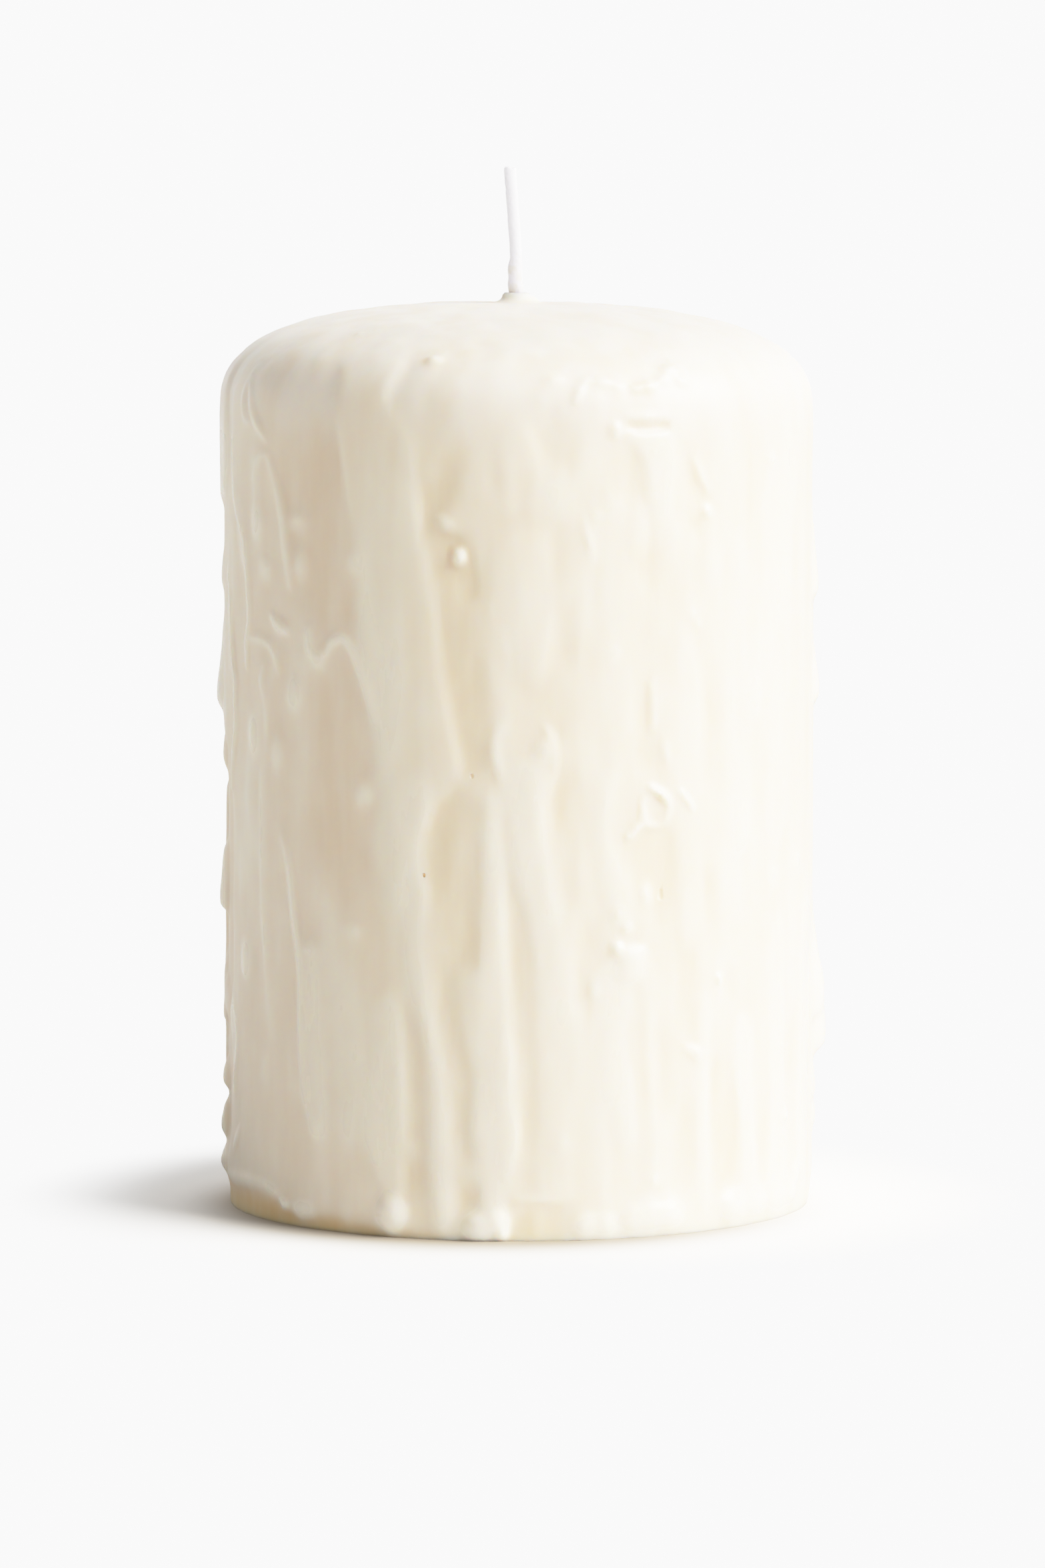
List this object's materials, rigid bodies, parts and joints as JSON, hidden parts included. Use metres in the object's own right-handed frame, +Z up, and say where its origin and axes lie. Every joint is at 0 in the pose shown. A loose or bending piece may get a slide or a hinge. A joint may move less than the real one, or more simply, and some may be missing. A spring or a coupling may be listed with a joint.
{
  "type": "melted pillar candle",
  "caption": "Cylindrical wax pillar with a domed top and drips of melted wax down its side, with a free-standing cotton wick.",
  "frame": {"origin": "on the pillar's axis, on the surface that its foot stands on", "axes": "+Z up along the pillar to the wick's tip; the side with the named runs faces -Y"},
  "size_m": [0.0819, 0.0809, 0.1377],
  "materials": {
    "wax": "ivory wax, satin, translucent at thin edges",
    "cotton_wick": "white braided cotton, its lower part soaked with wax",
    "tinned_steel": "thin bright tinned sheet"
  },
  "bodies": {
    "root": {"wax_body": "wax", "wick": "cotton_wick", "wick_sustainer": "tinned_steel"}
  },
  "joints": []
}
